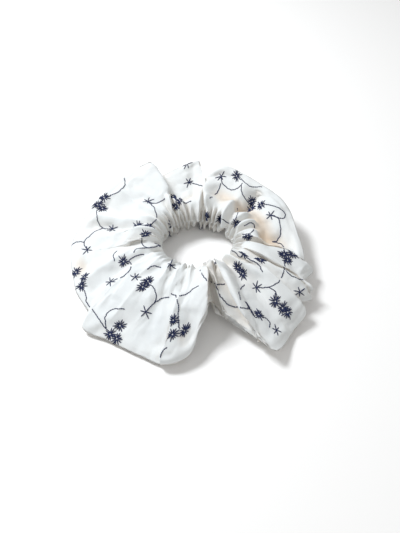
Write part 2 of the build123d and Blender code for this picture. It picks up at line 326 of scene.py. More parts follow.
def simulate(points):
    """Lets the gathered tube settle as cloth, towards the size it was cut to."""
    scene = bpy.context.scene
    faces = ring_faces(ROWS, COLUMNS, True)
    tube = new_object("settling_cloth", points.reshape(-1, 3) * MM, faces)
    floor = level_square("settling_floor", 0.3)
    floor.modifiers.new("floor", "COLLISION")
    floor.collision.thickness_outer = 0.0005
    tube.shape_key_add(name="Basis")
    flat = tube.shape_key_add(name="flat")
    across = np.arange(ROWS) * LAYER_WIDTH / LAYER_ROWS
    from_wall = np.abs(across - LAYER_WIDTH)
    radius = CLOTH_LENGTH / TURNS + np.where(across < LAYER_WIDTH, -0.25, 0.25)
    strip = np.zeros((ROWS, COLUMNS, 3))
    strip[..., 0] = radius[:, None] * np.cos(-TURNS * share)[None]
    strip[..., 1] = radius[:, None] * np.sin(-TURNS * share)[None]
    strip[..., 2] = from_wall[:, None]
    flat.data.foreach_set("co", (strip * MM).ravel())
    flat.value = 0
    held = tube.vertex_groups.new(name="held")
    for row in range(ROWS):
        if from_wall[row] <= 4:
            hold = HOLD_AT_WALL
        elif from_wall[row] > LAYER_WIDTH - 1:
            hold = HOLD_AT_EDGE
        else:
            hold = HOLD_ELSEWHERE
        held.add(list(range(row * COLUMNS, (row + 1) * COLUMNS)), hold, "REPLACE")
    cloth = tube.modifiers.new("cloth", "CLOTH")
    feel = cloth.settings
    feel.quality = 6
    feel.mass = 0.00014
    feel.air_damping = 2
    feel.tension_stiffness = feel.compression_stiffness = 20
    feel.shear_stiffness = 4
    feel.bending_stiffness = 0.06
    feel.tension_damping = feel.compression_damping = 10
    feel.bending_damping = 0.5
    feel.vertex_group_mass = "held"
    feel.pin_stiffness = 1.0
    feel.rest_shape_key = flat
    cloth.collision_settings.distance_min = 0.0006
    cloth.point_cache.frame_start, cloth.point_cache.frame_end = 1, SETTLING_FRAMES
    for number in range(1, SETTLING_FRAMES + 1):
        scene.frame_set(number)
    settled = tube.evaluated_get(bpy.context.evaluated_depsgraph_get()).to_mesh()
    out = np.zeros(ROWS * COLUMNS * 3)
    settled.vertices.foreach_get("co", out)
    for obj in (tube, floor):
        bpy.data.objects.remove(obj)
    scene.frame_set(1)
    moved = out.reshape(ROWS, COLUMNS, 3) / MM - points
    far = np.linalg.norm(moved, axis=2, keepdims=True)
    return points + moved * np.minimum(1.0, MOST_MOVED / np.maximum(far, 1e-6))


def refine(grid, axis):
    """Twice as many lines along an axis of a closed grid, on a smooth curve."""
    before, after, beyond = (np.roll(grid, shift, axis) for shift in (1, -1, -2))
    middle = (9 * (grid + after) - before - beyond) / 16
    both = np.stack([grid, middle], axis + 1)
    shape = list(grid.shape)
    shape[axis] *= 2
    return both.reshape(shape)


settled = simulate(start_shape)
fine = refine(refine(settled, 0), 1)
FINE_ROWS, FINE_COLUMNS = fine.shape[:2]
WALL_ROW = FINE_ROWS // 2
ROW_MM = LAYER_WIDTH / (FINE_ROWS / 2)
COLUMN_MM = CLOTH_LENGTH / FINE_COLUMNS


def surface_normals(grid):
    """Outward normals of the whole cloth."""
    along = np.roll(grid, -1, 1) - np.roll(grid, 1, 1)
    across = np.roll(grid, -1, 0) - np.roll(grid, 1, 0)
    normal = np.cross(along, across)
    return normal / (np.linalg.norm(normal, axis=2, keepdims=True) + 1e-9)


CRUMPLES = ((2.0, 0.40), (4.5, 1.05), (10.0, 2.0))      # size and height
UNDERSIDE_CRUMPLING = 0.45    # share of that height on the lower layer
ALLOWANCE_RIDGE = 0.35        # how far the seam allowance inside lifts the cloth
LAYER_GAP = 2.0               # least air between the layers, which closes up at the edge
LOWEST = 0.15                 # the cloth's middle, lying on the floor
FLOOR_REACH = 12.0            # height above which nothing is lowered to the floor
WALL_SIDE = 9.0               # cloth from the inner wall that stays in front of the elastic
WALL_LIMIT_X, WALL_LIMIT_Y = 28.8, 25.8           # the half axes that it stays within
WALL_HEIGHT = 4.8             # above and below the elastic's middle

# Crumpling too fine for the simulation, and the ridge of the seam allowance inside the edge.
normals = surface_normals(fine)
row_index = np.arange(FINE_ROWS)
from_wall_fine = np.abs(row_index - WALL_ROW) * ROW_MM
lift = np.zeros((FINE_ROWS, FINE_COLUMNS))
for size, height in CRUMPLES:
    crumple = smooth_cloth(rng.standard_normal((FINE_ROWS, FINE_COLUMNS)), size, 1.3 * size)
    crumple /= np.abs(crumple).max()
    lift += height * (crumple - 0.5 * np.abs(crumple)) * ramp(from_wall_fine, 6, 24)[:, None]
raw_edge = LAYER_WIDTH - ALLOWANCE
lift += ALLOWANCE_RIDGE * ramp(from_wall_fine, raw_edge - 0.6, raw_edge + 0.6)[:, None]
lift[:WALL_ROW] *= UNDERSIDE_CRUMPLING
fine = fine + normals * lift[..., None]
fine[..., 2] = np.maximum(fine[..., 2], LOWEST)

# The top layer is kept above the lower one, compared at the same place in the cloth.
under, over = fine[1:WALL_ROW], fine[:WALL_ROW:-1]
under_from_wall = from_wall_fine[1:WALL_ROW]
spread = ramp(under_from_wall, 20, 30) * (1 - ramp(under_from_wall, LAYER_WIDTH - 4, LAYER_WIDTH))
short = np.maximum(LAYER_GAP * spread[:, None] - (over[..., 2] - under[..., 2]), 0)
drop = np.minimum(short / 2, under[..., 2] - LOWEST)
under[..., 2] -= drop
over[..., 2] += short - drop
# The low parts come down onto the floor, and the raised flounce stays where it is.
lowest_now = fine[..., 2].min()
fine[..., 2] -= (lowest_now - LOWEST) * (1 - ramp(fine[..., 2], lowest_now, FLOOR_REACH))
# Pleats of the inner wall stay clear of the elastic behind them.
wall_rows = (from_wall_fine < WALL_SIDE)[:, None]
reach = np.hypot(fine[..., 0], fine[..., 1])
allowed = reach / np.hypot(fine[..., 0] / WALL_LIMIT_X, fine[..., 1] / WALL_LIMIT_Y)
beside_elastic = wall_rows & (np.abs(fine[..., 2] - INNER_Z) < WALL_HEIGHT) & (reach > allowed)
fine[..., :2] *= np.where(beside_elastic, allowed / reach, 1.0)[..., None]
normals = surface_normals(fine)

# ------------------------------------------------------------------ the cover
# The seam allowances are turned inside at the edge, so their rows lie just under the cloth.
TUCK_DEPTH = 0.5
first_tuck = np.array([6, 4, 2])
last_tuck = -first_tuck[::-1]
tucks = [fine[rows] - normals[rows] * TUCK_DEPTH for rows in (first_tuck, last_tuck)]
sheet_rows = np.concatenate([tucks[0], fine, fine[:1], tucks[1]], 0)
cloth_v = np.concatenate(
    [
        -first_tuck * ROW_MM,
        np.arange(FINE_ROWS + 1) * ROW_MM,
        2 * LAYER_WIDTH - last_tuck * ROW_MM,
    ]
)
sheet_faces = ring_faces(len(sheet_rows), FINE_COLUMNS, False)
corner_rows = sheet_faces // FINE_COLUMNS
corner_columns = sheet_faces % FINE_COLUMNS
wraps = (corner_columns.max(1) - corner_columns.min(1) > FINE_COLUMNS // 2)[:, None]
corner_columns = np.where(wraps & (corner_columns == 0), FINE_COLUMNS, corner_columns)
cover_uv = np.stack([corner_columns * COLUMN_MM * MM, cloth_v[corner_rows] * MM], -1)
cover = new_object("cover_cloth", sheet_rows.reshape(-1, 3) * MM, sheet_faces, cover_uv)

# Hollows of the folds are kept as a colour attribute, for the painted warm shade inside them; the
# attribute also carries painted shade on the underside and in the patches below.
depth = np.einsum("ijk,ijk->ij", smooth_cloth(fine, 7.0, 9.0) - fine, normals)
# Where warm shade is painted on the cloth: (edge station, spread in mm, from the inner wall,
# spread, amount).
WARM_SHADE_PATCHES = [
    (22.0, 22.0, 30.0, 12.0, 0.9), (25.0, 26.0, 34.0, 12.0, 1.0), (27.3, 18.0, 40.0, 14.0, 0.7),
    (17.5, 16.0, 26.0, 10.0, 0.5), (0.3, 9.0, 56.0, 16.0, 0.7), (36.3, 10.0, 44.0, 20.0, 0.4),
    (8.8, 14.0, 62.0, 6.0, 0.7), (33.4, 9.0, 46.0, 18.0, 0.4), (2.3, 7.0, 54.0, 14.0, 0.5),
]
# Painted shade: the whole lower layer gets this much warm tint, as if it lay in shadow.
UNDERSIDE_PAINTED_SHADE = 0.45
SHADE_LEVEL, SHADE_OF_WARMTH = 0.30, 0.6
SHADE_OF_HOLLOWS, FULL_HOLLOW = 0.25, 16.0
painted_warm_shade = np.zeros((FINE_ROWS, FINE_COLUMNS))
painted_warm_shade[:WALL_ROW] = UNDERSIDE_PAINTED_SHADE
fine_share = np.arange(FINE_COLUMNS) / FINE_COLUMNS
for where, along_spread, middle, across_spread, amount in WARM_SHADE_PATCHES:
    near = np.exp(-((apart(fine_share, at_station(where)) / along_spread) ** 2))[None]
    near = near * np.exp(-(((from_wall_fine - middle) / across_spread) ** 2))[:, None]
    painted_warm_shade += amount * near * (row_index >= WALL_ROW)[:, None]
# Painted shade: deeper hollows get more warm tint, up to SHADE_OF_HOLLOWS.
painted_hollow_shade = np.minimum(depth / FULL_HOLLOW, SHADE_OF_HOLLOWS)
shade = np.clip(SHADE_LEVEL + painted_hollow_shade + SHADE_OF_WARMTH * painted_warm_shade, 0, 1)
shade_rows = np.concatenate([shade[first_tuck], shade, shade[:1], shade[last_tuck]], 0)
colour = cover.data.color_attributes.new("painted_hollow_shade", "FLOAT_COLOR", "POINT")
colour.data.foreach_set("color", np.repeat(shade_rows.reshape(-1, 1), 4, 1).ravel())


# ------------------------------------------------------------------ points on the cloth
def on_cloth(column, row):
    """Position and normal at fractional grid coordinates, arrays of any one shape."""
    column, row = np.asarray(column, float), np.asarray(row, float)
    c0, r0 = np.floor(column).astype(int), np.floor(row).astype(int)
    fc, fr = (column - c0)[..., None], (row - r0)[..., None]
    c0, r0 = c0 % FINE_COLUMNS, r0 % FINE_ROWS
    c1, r1 = (c0 + 1) % FINE_COLUMNS, (r0 + 1) % FINE_ROWS

    def mix(grid):
        low = grid[r0, c0] * (1 - fc) + grid[r0, c1] * fc
        high = grid[r1, c0] * (1 - fc) + grid[r1, c1] * fc
        return low * (1 - fr) + high * fr

    normal = mix(normals)
    return mix(fine), normal / (np.linalg.norm(normal, axis=-1, keepdims=True) + 1e-9)


SPACING_SMOOTH = 2.5          # cloth mm over which the spacing is smoothed


def spacing(axis):
    """Real millimetres per grid step along an axis, smoothed."""
    step = np.linalg.norm(np.roll(fine, -1, axis) - fine, axis=2)
    return smooth_cloth(step, SPACING_SMOOTH, SPACING_SMOOTH)


row_step, column_step = spacing(0), spacing(1)


class Stitches:
    """Raised lengths of thread lying on the cloth, gathered into one mesh."""

    def __init__(self):
        self.points = []
        self.faces = []
        self.count = 0

    def add(self, centre, normal, width, height, sink=0.12):
        """One stitch along an (n, 3) centre line in millimetres."""
        n = len(centre)
        run = np.gradient(centre, axis=0)
        run /= np.linalg.norm(run, axis=1, keepdims=True) + 1e-9
        side = np.cross(run, normal)
        side /= np.linalg.norm(side, axis=1, keepdims=True) + 1e-9
        t = np.linspace(0, 1, n)
        swell = np.maximum(np.sin(math.pi * np.clip(t * 0.94 + 0.03, 0, 1)), 0) ** 0.6
        half = (0.5 * width * (0.35 + 0.65 * swell))[:, None]
        high = (height * swell)[:, None]
        low = centre - normal * sink
        ring = [
            low - side * half,
            centre - side * half * 0.75 + normal * high * 0.7,
            centre + normal * high,
            centre + side * half * 0.75 + normal * high * 0.7,
            low + side * half,
        ]
        self.points.append(np.stack(ring, 1).reshape(-1, 3))
        k = len(ring)
        index = self.count + np.arange(n * k).reshape(n, k)
        quads = np.stack([index[:-1, :-1], index[1:, :-1], index[1:, 1:], index[:-1, 1:]], -1)
        under = np.stack([index[:-1, -1], index[1:, -1], index[1:, 0], index[:-1, 0]], -1)
        self.faces += [quads.reshape(-1, 4), under.reshape(-1, 4)]
        self.count += n * k

    def build(self, name):
        return new_object(name, np.concatenate(self.points) * MM, np.concatenate(self.faces))


flowers, stars, stems = Stitches(), Stitches(), Stitches()
DAISY_PETALS, DAISY_CENTRE, DAISY_REACH = 13, 0.45, (2.9, 4.9)
STAR_ARMS, STAR_REACH = 6, (3.0, 4.6)
THREAD_WIDTH, STEM_WIDTH = 0.80, 0.85
DAISY_HEIGHT, STAR_HEIGHT, STEM_HEIGHT = 0.50, 0.42, 0.34
STEM_STITCH = 1.3             # length of a running stitch
STEM_WANDER = 0.32            # how far a hand strays from the drawn line
STEM_BREAK = 2.6              # a longer step jumps over a fold, so it gets no stitch
LEAST_ROW_STEP, LEAST_COLUMN_STEP, LEAST_STITCH_STEP = 0.25, 0.2, 0.12


def straight_stitch(group, column, row, start, end, width, height):
    """A stitch between two offsets in millimetres from a place on the cloth."""
    r, c = int(round(row)) % FINE_ROWS, int(round(column)) % FINE_COLUMNS
    across = max(row_step[r, c], LEAST_ROW_STEP)
    along = max(column_step[r, c], LEAST_STITCH_STEP)
    t = np.linspace(0, 1, 6)
    x = start[0] + (end[0] - start[0]) * t
    y = start[1] + (end[1] - start[1]) * t
    centre, normal = on_cloth(column + x / along, row + y / across)
    group.add(centre, normal, width, height)


def daisy(column, row, turn):
    """A satin-stitched flower: a ring of stitches round an open centre."""
    for i in range(DAISY_PETALS):
        angle = turn + TURNS * (i + rng.uniform(-0.25, 0.25)) / DAISY_PETALS
        outer = rng.uniform(*DAISY_REACH)
        start = DAISY_CENTRE * math.cos(angle), DAISY_CENTRE * math.sin(angle)
        end = outer * math.cos(angle), outer * math.sin(angle)
        straight_stitch(flowers, column, row, start, end, THREAD_WIDTH, DAISY_HEIGHT)


def star(column, row, turn):
    """Six long single stitches from one point."""
    for i in range(STAR_ARMS):
        angle = turn + TURNS * (i + rng.uniform(-0.08, 0.08)) / STAR_ARMS
        outer = rng.uniform(*STAR_REACH)
        end = outer * math.cos(angle), outer * math.sin(angle)
        straight_stitch(stars, column, row, (0, 0), end, THREAD_WIDTH, STAR_HEIGHT)


def stem(places):
    """Running stitches through a list of surface points and normals."""
    for (a, na), (b, nb) in zip(places, places[1:]):
        if np.linalg.norm(b - a) > STEM_BREAK:
            continue
        t = np.linspace(0, 1, 4)[:, None]
        normal = na + (nb - na) * t
        normal /= np.linalg.norm(normal, axis=1, keepdims=True) + 1e-9
        stems.add(a + (b - a) * t * 1.06, normal, STEM_WIDTH, STEM_HEIGHT)


# ------------------------------------------------------------------ camera
CAMERA_LIFT = math.radians(49.0)
CAMERA_AWAY = 0.40
VIEW_WIDTH = 0.272
AIM = Vector((0.0, 0.0, 0.012))
camera_at = AIM + Vector(
    (0, -CAMERA_AWAY * math.cos(CAMERA_LIFT), CAMERA_AWAY * math.sin(CAMERA_LIFT))
)
tree = BVHTree.FromPolygons(
    [Vector(v) for v in (fine.reshape(-1, 3) * MM).tolist()],
    ring_faces(FINE_ROWS, FINE_COLUMNS, True).tolist(),
)
SIGHT_HEIGHT = 15.0           # mm
SIGHT_SLACK = 0.0015          # m that a seen place may lie behind what the ray meets


def seen_place(x, y):
    """Grid column and row of the cloth seen from the front above a point, or None.

    The point is (x, y) millimetres on a level plane at SIGHT_HEIGHT.
    """
    ray = Vector((x, y, SIGHT_HEIGHT)) * MM - camera_at
    hit, _, face, _ = tree.ray_cast(camera_at, ray.normalized())
    if face is None:
        return None
    row, column = divmod(face, FINE_COLUMNS)
    corner = fine[row, column]
    offset = np.array(hit) / MM - corner
    along = fine[row, (column + 1) % FINE_COLUMNS] - corner
    across = fine[(row + 1) % FINE_ROWS, column] - corner
    column += float(np.clip(offset @ along / max(along @ along, 1e-9), 0, 1))
    row += float(np.clip(offset @ across / max(across @ across, 1e-9), 0, 1))
    return column, row


# ------------------------------------------------------------------ embroidery
# Seen from the front above, in mm on the plane at SIGHT_HEIGHT.
FLOWERS = [
    (-68, 43), (-68, 32), (-72, 36), (-42, 15), (-34, 15), (-36, 7), (-79, -26), (-73, -30),
    (-74, -37), (-49, -17), (-32, -33), (-35, -38), (-47, -67), (-52, -73), (-48, -76),
    (-15, -63), (-15, -73), (-8, -70), (-18, 44), (-13, 40), (-16, 34), (6, 23), (39, 39),
    (45, 35), (38, 31), (27, 17), (57, -11), (63, -11), (59, -16), (41, -16), (26, -22),
    (29, -27), (32, -55), (37, -59), (48, -49), (52, -54), (55, -57), (29, 66), (-17, 7),
    (16, 22), (34, 5),
]
STARS = [
    (-36, 39), (-59, 12), (-74, -7), (-26, -3), (-56, -34), (-40, -30), (-32, -57), (-18, -20),
    (-7, 59), (17, 65), (51, 25), (37, -38), (11, -19), (64, -42), (30, -10), (47, -70),
]
STEMS = [
    [(-64, 45), (-58, 49), (-54, 56), (-55, 64)],
    [(-72, 29), (-70, 20), (-66, 13), (-59, 12)],
    [(-66, 13), (-72, 8), (-77, 0), (-74, -7)],
    [(-77, 0), (-82, 0), (-85, -3)],
    [(-36, 39), (-30, 37), (-24, 41)],
    [(-36, 39), (-31, 32), (-29, 22), (-34, 15)],
    [(-38, 6), (-38, -1), (-34, -5), (-26, -3)],
    [(-34, -5), (-41, -6), (-43, -9)],
    [(-54, -8), (-56, -12), (-55, -17)],
    [(-47, -17), (-44, -18), (-44, -23), (-48, -29), (-56, -34)],
    [(-46, -16), (-41, -12), (-36, -11)],
    [(-73, -38), (-70, -45), (-69, -50), (-63, -58), (-55, -69), (-52, -72)],
    [(-55, -69), (-56, -60), (-52, -55), (-45, -55)],
    [(-32, -36), (-29, -37), (-26, -44), (-27, -50), (-32, -57)],
    [(-27, -50), (-23, -47), (-18, -46)],
    [(-33, -24), (-29, -21), (-24, -22)],
    [(-17, -43), (-13, -45), (-8, -44), (-4, -40), (1, -36)],
    [(-14, -45), (-12, -53), (-12, -61), (-11, -69)],
    [(0, -20), (3, -28), (8, -34), (14, -36), (18, -35)],
    [(11, -36), (14, -45), (19, -52), (26, -54), (32, -55)],
    [(39, -60), (43, -63), (43, -68)],
    [(30, -36), (26, -41), (26, -48)],
    [(37, -38), (44, -38), (51, -34), (55, -27), (57, -17)],
    [(45, -38), (49, -42), (49, -48), (49, -52)],
    [(56, -23), (60, -29), (66, -32), (71, -30)],
    [(17, 65), (18, 58), (24, 51), (30, 53), (33, 58)],
    [(17, 58), (14, 48), (8, 42)],
    [(32, 56), (32, 49), (35, 40), (39, 35)],
    [(47, 36), (55, 34), (61, 28), (60, 22), (54, 24), (51, 25)],
    [(51, 25), (56, 22), (57, 10), (54, 2), (50, 0)],
    [(50, 0), (56, -2), (58, -10)],
    [(32, 63), (38, 55), (47, 54)],
    [(-7, 59), (0, 56), (5, 55)],
    [(-11, 39), (-9, 37), (-5, 39)],
    [(32, 15), (37, 18), (39, 14), (36, 8), (30, 7)],
    [(30, -10), (34, -15), (39, -19), (42, -26)],
    [(21, -7), (25, -9), (28, -14), (30, -10)],
    [(-18, -82), (-21, -85), (-22, -89)],
    [(-17, 6), (-21, 2), (-25, -2)],
    [(16, 22), (22, 17), (27, 17)],
    [(28, 32), (28, 26), (25, 18)],
]
placed = []


def open_curve(points):
    """Smooth curve through a few points, a stitch length apart, with a hand's wander."""
    p = np.array([points[0], *points, points[-1]], float)
    run = [curve_piece(*p[i - 1:i + 3], 12) for i in range(1, len(p) - 2)]
    run = np.vstack(run + [p[-1:]])
    length = lengths_along(run)
    at = np.linspace(0, length[-1], max(3, int(length[-1] / STEM_STITCH) + 1))
    even = points_along(run, length, at)
    return even + rng.uniform(-STEM_WANDER, STEM_WANDER, even.shape)


for x, y in FLOWERS:
    place = seen_place(x, y)
    if place is not None:
        daisy(*place, rng.uniform(0, 1))
        placed.append(place)
for x, y in STARS:
    place = seen_place(x, y)
    if place is not None:
        star(*place, rng.uniform(0, 1))
        placed.append(place)
for points in STEMS:
    places = []
    for x, y in open_curve(points):
        place = seen_place(x, y)
        if place is not None:
            centre, normal = on_cloth(*place)
            places.append((centre, normal))
            placed.append(place)
    stem(places)


def clear_of_placed(column, row, reach):
    """True if no motif lies within reach millimetres of cloth."""
    for c, r in placed:
        along = abs((column - c + FINE_COLUMNS / 2) % FINE_COLUMNS - FINE_COLUMNS / 2) * COLUMN_MM
        across = abs((row - r + FINE_ROWS / 2) % FINE_ROWS - FINE_ROWS / 2) * ROW_MM
        if math.hypot(along * 0.75, across) < reach:
            return False
    return True


def visible_from_camera(column, row):
    """True if the reference view sees this place."""
    centre, normal = on_cloth(column, row)
    ray = Vector(centre * MM) - camera_at
    hit, _, _, _ = tree.ray_cast(camera_at, ray.normalized())
    return hit is not None and (hit - camera_at).length > ray.length - SIGHT_SLACK


def least_steps(column, row):
    """Real millimetres per grid column and row at a place, never close to 0."""
    r, c = int(row) % FINE_ROWS, int(column) % FINE_COLUMNS
    return max(column_step[r, c], LEAST_COLUMN_STEP), max(row_step[r, c], LEAST_ROW_STEP)


def wander(column, row, angle, length):
    """Surface points along a gently curving walk over the cloth."""
    places = []
    curl = rng.uniform(-0.05, 0.05)
    for _ in range(int(length / STEM_STITCH)):
        places.append(on_cloth(column, row))
        along, across = least_steps(column, row)
        angle += curl + rng.uniform(-0.22, 0.22)
        column += STEM_STITCH * math.cos(angle) / along
        row += STEM_STITCH * math.sin(angle) / across
    return places, column, row


# The same pattern carried over the rest of the cloth: underside, folds and back.
SPRIG_TRIES = 900
SPRIG_SPACING = 24.0
SPRIG_REACH = 4.4             # from a sprig's middle to its three flowers
STAR_SHARE = 0.8              # share of the stems that end in a star
for _ in range(SPRIG_TRIES):
    column, row = rng.uniform(0, FINE_COLUMNS), rng.uniform(4, FINE_ROWS - 4)
    turn = rng.uniform(0, TURNS)
    if not clear_of_placed(column, row, SPRIG_SPACING) or visible_from_camera(column, row):
        continue
    placed.append((column, row))
    along, across = least_steps(column, row)
    for i in range(3):
        angle = turn + TURNS * i / 3
        daisy(
            column + SPRIG_REACH * math.cos(angle) / along,
            row + SPRIG_REACH * math.sin(angle) / across,
            turn,
        )
    for angle in (turn + 0.5, turn + 3.4):
        places, end_column, end_row = wander(column, row, angle, rng.uniform(16, 24))
        stem(places[5:])
        placed.append((end_column, end_row))
        if rng.uniform() < STAR_SHARE:
            star(end_column, end_row, turn)

flower_piece = flowers.build("embroidered_flowers")
star_piece = stars.build("embroidered_stars")
stem_piece = stems.build("embroidered_stems")

# ------------------------------------------------------------------ seams
LOCKSTITCH, LOCKSTITCH_PITCH = 2.4, 3.0
CLOSING_SEAM_STATION = 15.4
CLOSING_SEAM_START = 9.0      # from the inner wall
seam_row = int(round(ALLOWANCE / ROW_MM))
long_seam = Stitches()
inside = 0.5 * (fine[seam_row] + fine[-seam_row])
inside_normal = normals[-seam_row]
per_stitch = FINE_COLUMNS / (CLOTH_LENGTH / LOCKSTITCH_PITCH)
for i in range(int(CLOTH_LENGTH / LOCKSTITCH_PITCH)):
    at = (i + np.linspace(0, LOCKSTITCH / LOCKSTITCH_PITCH, 5)) * per_stitch
    index = at.astype(int) % FINE_COLUMNS
    part = (at - at.astype(int))[:, None]
    centre = inside[index] * (1 - part) + inside[(index + 1) % FINE_COLUMNS] * part
    long_seam.add(centre, inside_normal[index], 0.5, 0.22)
long_seam_piece = long_seam.build("long_seam_stitches")

# The lapped tube ends, closed by hand in a fold beside the raised back panel.
closing_seam = Stitches()
closing_column = at_station(CLOSING_SEAM_STATION) * FINE_COLUMNS
for i in range(int((LAYER_WIDTH - 14) / LOCKSTITCH_PITCH)):
    first = CLOSING_SEAM_START + i * LOCKSTITCH_PITCH
    at = WALL_ROW + (first + np.linspace(0, LOCKSTITCH, 5)) / ROW_MM
    centre, normal = on_cloth(np.full(5, closing_column) + 0.4 * (i % 2), at)
    closing_seam.add(centre, normal, 0.45, 0.24)
closing_seam_piece = closing_seam.build("closing_seam_stitches")

# ------------------------------------------------------------------ elastic
ELASTIC_INSIDE, ELASTIC_THICK, ELASTIC_WIDE = 5.0, 1.1, 8.0
RIBS, ELASTIC_STEPS = 9, 320
RIB_DEPTH, PUCKER_DEPTH, PUCKERS = 0.14, 0.06, 160
LAP_GAP = 0.12                # between the loop and its lapped end


def round_opening(reach, angles, heights):
    """Points a distance outside the opening's oval."""
    x = (OPENING_HALF_X + reach) * np.cos(angles)
    y = (OPENING_HALF_Y + reach) * np.sin(angles)
    return np.stack([x, y, heights], 1)


def elastic_loop(offset, first, last, steps, closed):
    """Ribbed band standing on edge, along the oval inside the cover."""
    angles = np.linspace(first, last, steps, endpoint=not closed)
    heights = np.linspace(-ELASTIC_WIDE / 2, ELASTIC_WIDE / 2, RIBS * 4 + 1)
    ripple = RIB_DEPTH * np.abs(np.sin(np.linspace(0, math.pi * RIBS, RIBS * 4 + 1)))
    pucker = PUCKER_DEPTH * np.sin(angles * PUCKERS)
    outline = [(z, ripple_here, 1.0) for z, ripple_here in zip(heights, ripple)]
    outline += [(z, ripple_here, 0.0) for z, ripple_here in zip(heights[::-1], ripple[::-1])]
    rows = []
    for z, ripple_here, outer in outline:
        skin = ripple_here if outer else -ripple_here
        reach = offset + ELASTIC_THICK * outer + 0.5 * skin + pucker * (1 if outer else -1)
        rows.append(round_opening(reach, angles, np.full_like(angles, INNER_Z + z)))
    rows = np.array(rows)
    count, length = rows.shape[:2]
    index = np.arange(count * length).reshape(count, length)
    below = np.roll(index, -1, 0)
    if closed:
        quads = np.stack([index, below, np.roll(below, -1, 1), np.roll(index, -1, 1)], -1)
        return rows.reshape(-1, 3), quads.reshape(-1, 4).tolist()
    quads = np.stack([index[:, :-1], below[:, :-1], below[:, 1:], index[:, 1:]], -1)
    faces = quads.reshape(-1, 4).tolist()
    return rows.reshape(-1, 3), faces + [index[:, 0].tolist(), index[::-1, -1].tolist()]


loop_points, loop_faces = elastic_loop(ELASTIC_INSIDE, 0, TURNS, ELASTIC_STEPS, True)
lap = math.radians(13)
lap_points, lap_faces = elastic_loop(
    ELASTIC_INSIDE + ELASTIC_THICK + LAP_GAP, math.pi - lap, math.pi + lap, 26, False
)
lap_faces = [[i + len(loop_points) for i in face] for face in lap_faces]
mesh = bpy.data.meshes.new("elastic_loop")
mesh.from_pydata((np.vstack([loop_points, lap_points]) * MM).tolist(), [], loop_faces + lap_faces)
elastic_piece = bpy.data.objects.new("elastic_loop", mesh)
bpy.context.scene.collection.objects.link(elastic_piece)

zigzag_stitches = Stitches()
ZIGZAG_CORNERS, ZIGZAG_HALF_WIDTH = 13, 3.0
inner_face, outer_face = ELASTIC_INSIDE - 0.1, ELASTIC_INSIDE + 2 * ELASTIC_THICK + 0.25
for reach, facing in ((inner_face, -1.0), (outer_face, 1.0)):
    angles = math.pi + lap * 0.8 * np.linspace(-1, 1, ZIGZAG_CORNERS)
    up_or_down = np.where(np.arange(ZIGZAG_CORNERS) % 2 == 0, 1.0, -1.0)
    face_normal = facing * np.stack([np.cos(angles), np.sin(angles), 0 * angles], 1)
    corner = round_opening(reach, angles, INNER_Z + ZIGZAG_HALF_WIDTH * up_or_down)
    for k in range(ZIGZAG_CORNERS - 1):
        t = np.linspace(0, 1, 6)[:, None]
        line = corner[k] + (corner[k + 1] - corner[k]) * t
        across = face_normal[k] + (face_normal[k + 1] - face_normal[k]) * t
        zigzag_stitches.add(line, across, 0.5, 0.25)
zigzag_piece = zigzag_stitches.build("elastic_join_zigzag")


# ------------------------------------------------------------------ materials
class Nodes:
    """A small helper that wires a node material."""

    def __init__(self, name):
        self.material = bpy.data.materials.new(name)
        self.material.use_nodes = True
        self.tree = self.material.node_tree
        self.shader = self.tree.nodes["Principled BSDF"]
        self.output = self.tree.nodes["Material Output"]

    def node(self, kind, **settings):
        made = self.tree.nodes.new(kind)
        for key, value in settings.items():
            if key in made.inputs.keys():
                made.inputs[key].default_value = value
            else:
                setattr(made, key, value)
        return made

    def link(self, source, target):
        self.tree.links.new(source, target)

    def texture(self, kind, place, **settings):
        """Value of a texture read at a place."""
        made = self.node(kind, **settings)
        self.link(place, made.inputs["Vector"])
        return made.outputs["Fac"]

    def rise(self, value, low, high, most):
        """0 where the value is low, and the most where it is high."""
        made = self.node("ShaderNodeMapRange")
        limits = ("From Min", low), ("From Max", high), ("To Min", 0.0), ("To Max", most)
        for key, limit in limits:
            made.inputs[key].default_value = limit
        self.link(value, made.inputs["Value"])
        return made.outputs["Result"]

    def feel(self, **settings):
        """Inputs of the surface, with _ for each space in a name."""
        for key, value in settings.items():
            self.shader.inputs[key.replace("_", " ")].default_value = value

    def maths(self, operation, first, second):
        made = self.node("ShaderNodeMath", operation=operation)
        for socket, value in zip(made.inputs, (first, second)):
            if isinstance(value, (int, float)):
                socket.default_value = value
            else:
                self.link(value, socket)
        return made.outputs[0]

    def mix(self, share_of_second, first, second):
        made = self.node("ShaderNodeMix", data_type="RGBA")
        sockets = made.inputs[0], made.inputs[6], made.inputs[7]
        for socket, value in zip(sockets, (share_of_second, first, second)):
            if isinstance(value, (int, float, tuple)):
                socket.default_value = value
            else:
                self.link(value, socket)
        return made.outputs[2]

    def bump(self, height, strength, distance, normal=None):
        made = self.node("ShaderNodeBump", Strength=strength, Distance=distance)
        self.link(height, made.inputs["Height"])
        if normal is not None:
            self.link(normal, made.inputs["Normal"])
        return made.outputs["Normal"]


# The cream colour below is painted shade, mixed in where the cloth lies in hollows, underneath or
# closed in.
COTTON_COOL, COTTON_PALE = (0.84, 0.895, 0.925, 1), (0.90, 0.925, 0.93, 1)
COTTON_PAINTED_SHADE, COTTON_THIN = (0.87, 0.73, 0.58, 1), (0.62, 0.64, 0.68, 1)
ELASTIC_SHADES = (0.80, 0.80, 0.77, 1), (0.92, 0.92, 0.90, 1)
NAVY_SHADES = (0.004, 0.008, 0.040, 1), (0.010, 0.024, 0.095, 1)
WHITE_SHADES = (0.86, 0.87, 0.88, 1), (0.95, 0.95, 0.94, 1)
NOISE, WAVE = "ShaderNodeTexNoise", "ShaderNodeTexWave"


